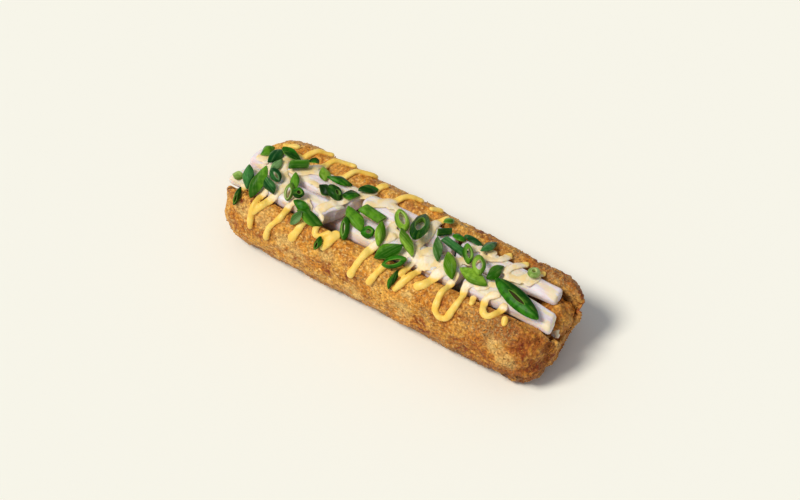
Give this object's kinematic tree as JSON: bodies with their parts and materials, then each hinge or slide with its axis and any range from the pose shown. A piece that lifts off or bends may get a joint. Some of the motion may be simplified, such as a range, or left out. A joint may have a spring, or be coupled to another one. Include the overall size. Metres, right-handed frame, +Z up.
{
  "type": "sushi hot dog",
  "caption": "Fried crumbed sushi roll, split along its top and filled with crab sticks, with a zigzag of sauce and sliced spring onion.",
  "frame": {"origin": "middle of the bounding box of the footprint, on the surface that the roll lies on", "axes": "+X along the roll to the end with the open cleft, +Y across the roll, +Z up"},
  "size_m": [0.1854, 0.059, 0.0529],
  "materials": {
    "crust": "rough fried crumb, golden to brown, with thick orange-yellow sauce on it",
    "nori": "satin, near-black green seaweed",
    "crab": "moist pinkish white, fibrous, with sauce on it",
    "onion": "moist green, paler at the cut edges"
  },
  "bodies": {
    "root": {"fried_roll": "crust", "nori_lining": "nori", "crab_stick_far_1": "crab", "crab_stick_far_2": "crab", "crab_stick_far_3": "crab", "crab_stick_near_1": "crab", "crab_stick_near_2": "crab", "crab_stick_near_3": "crab", "crab_stick_lower_far": "crab", "crab_stick_lower_near": "crab", "spring_onion_01": "onion", "spring_onion_02": "onion", "spring_onion_03": "onion", "spring_onion_04": "onion", "spring_onion_05": "onion", "spring_onion_06": "onion", "spring_onion_07": "onion", "spring_onion_08": "onion", "spring_onion_09": "onion", "spring_onion_10": "onion", "spring_onion_11": "onion", "spring_onion_12": "onion", "spring_onion_13": "onion", "spring_onion_14": "onion", "spring_onion_15": "onion", "spring_onion_16": "onion", "spring_onion_17": "onion", "spring_onion_18": "onion", "spring_onion_19": "onion", "spring_onion_20": "onion", "spring_onion_21": "onion", "spring_onion_22": "onion", "spring_onion_23": "onion", "spring_onion_24": "onion", "spring_onion_25": "onion", "spring_onion_26": "onion", "spring_onion_27": "onion", "spring_onion_28": "onion", "spring_onion_29": "onion", "spring_onion_30": "onion", "spring_onion_31": "onion", "spring_onion_32": "onion", "spring_onion_33": "onion", "spring_onion_34": "onion", "spring_onion_35": "onion", "spring_onion_36": "onion", "spring_onion_37": "onion", "spring_onion_38": "onion", "spring_onion_39": "onion", "spring_onion_40": "onion", "spring_onion_41": "onion", "spring_onion_42": "onion", "spring_onion_43": "onion", "spring_onion_44": "onion", "spring_onion_45": "onion", "spring_onion_46": "onion", "spring_onion_47": "onion", "spring_onion_48": "onion", "spring_onion_49": "onion", "spring_onion_50": "onion"}
  },
  "joints": []
}
